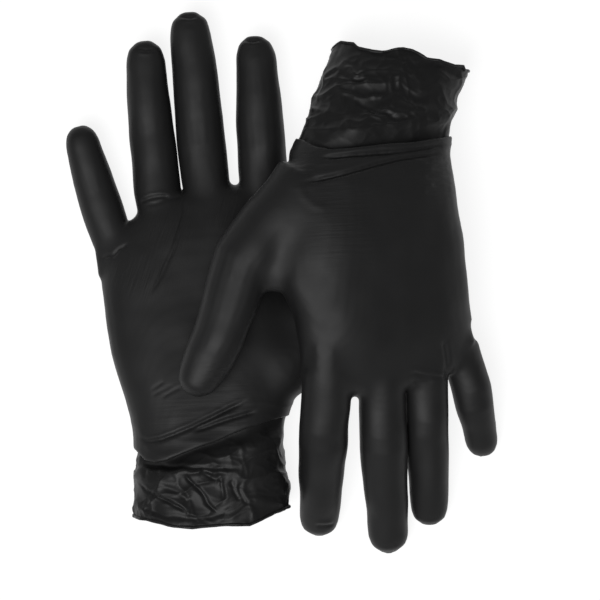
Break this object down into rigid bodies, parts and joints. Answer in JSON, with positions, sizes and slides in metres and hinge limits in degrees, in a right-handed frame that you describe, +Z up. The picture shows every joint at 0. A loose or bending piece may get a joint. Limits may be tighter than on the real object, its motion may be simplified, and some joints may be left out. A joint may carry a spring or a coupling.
{
  "type": "pair of disposable gloves",
  "caption": "Pair of disposable film gloves in the shape of the hands inside them, one palm up and one palm down across it.",
  "frame": {"origin": "on the table under the middle of the pair's bounding box", "axes": "+Z up from the table, +Y along the right glove from its cuff to its fingertips, +X towards the left glove's little finger"},
  "size_m": [0.2016, 0.2527, 0.059],
  "materials": {
    "film": "matt to satin black nitrile, stretched smooth",
    "cuff_film": "matt black nitrile, loose and crumpled",
    "bead": "matt black nitrile, rolled rim"
  },
  "bodies": {
    "right_glove": {"right_palm": "film", "right_cuff": "cuff_film", "right_cuff_bead": "bead", "right_index_base": "film", "right_middle_base": "film", "right_ring_base": "film", "right_little_base": "film", "right_thumb_base": "film"},
    "right_index_outer": {"right_index_tip": "film"},
    "right_middle_outer": {"right_middle_tip": "film"},
    "right_ring_outer": {"right_ring_tip": "film"},
    "right_little_outer": {"right_little_tip": "film"},
    "right_thumb_outer": {"right_thumb_tip": "film"},
    "left_glove": {"left_palm": "film", "left_cuff": "cuff_film", "left_cuff_bead": "bead", "left_index_base": "film", "left_middle_base": "film", "left_ring_base": "film", "left_little_base": "film", "left_thumb_base": "film"},
    "left_index_outer": {"left_index_tip": "film"},
    "left_middle_outer": {"left_middle_tip": "film"},
    "left_ring_outer": {"left_ring_tip": "film"},
    "left_little_outer": {"left_little_tip": "film"},
    "left_thumb_outer": {"left_thumb_tip": "film"}
  },
  "joints": [
    {"name": "left_glove_lifts_off", "type": "slide", "parent": "right_glove", "child": "left_glove", "axis": [0, 0, 1], "range_m": [0, 0.12]},
    {"name": "right_index_fold", "type": "hinge", "parent": "right_glove", "child": "right_index_outer", "pos_m": [-0.0096, 0.0664, 0.011], "axis": [0.9978, 0.0659, 0], "range_deg": [0, 75]},
    {"name": "right_middle_fold", "type": "hinge", "parent": "right_glove", "child": "right_middle_outer", "pos_m": [-0.038, 0.0683, 0.011], "axis": [0.9945, 0.1045, 0], "range_deg": [0, 75]},
    {"name": "right_ring_fold", "type": "hinge", "parent": "right_glove", "child": "right_ring_outer", "pos_m": [-0.0601, 0.0608, 0.011], "axis": [0.995, 0.0998, 0], "range_deg": [0, 75]},
    {"name": "right_little_fold", "type": "hinge", "parent": "right_glove", "child": "right_little_outer", "pos_m": [-0.0863, 0.0403, 0.0104], "axis": [0.9564, 0.2921, 0], "range_deg": [0, 75]},
    {"name": "right_thumb_fold", "type": "hinge", "parent": "right_glove", "child": "right_thumb_outer", "pos_m": [0.0245, 0.0068, 0.013], "axis": [0.2296, 0.0203, 0.9731], "range_deg": [0, 25]},
    {"name": "left_index_fold", "type": "hinge", "parent": "left_glove", "child": "left_index_outer", "pos_m": [0.0194, -0.0704, 0.034], "axis": [-0.9387, 0.1958, -0.2836], "range_deg": [0, 25]},
    {"name": "left_middle_fold", "type": "hinge", "parent": "left_glove", "child": "left_middle_outer", "pos_m": [0.0469, -0.072, 0.0295], "axis": [-0.9612, 0.0554, -0.2703], "range_deg": [0, 25]},
    {"name": "left_ring_fold", "type": "hinge", "parent": "left_glove", "child": "left_ring_outer", "pos_m": [0.0678, -0.0652, 0.0248], "axis": [-0.9991, -0.0147, -0.04], "range_deg": [0, 25]},
    {"name": "left_little_fold", "type": "hinge", "parent": "left_glove", "child": "left_little_outer", "pos_m": [0.0894, -0.053, 0.0196], "axis": [-0.967, -0.1608, -0.1974], "range_deg": [0, 25]},
    {"name": "left_thumb_fold", "type": "hinge", "parent": "left_glove", "child": "left_thumb_outer", "pos_m": [-0.0264, -0.02, 0.047], "axis": [-0.0957, 0.0285, 0.995], "range_deg": [0, 30]}
  ]
}
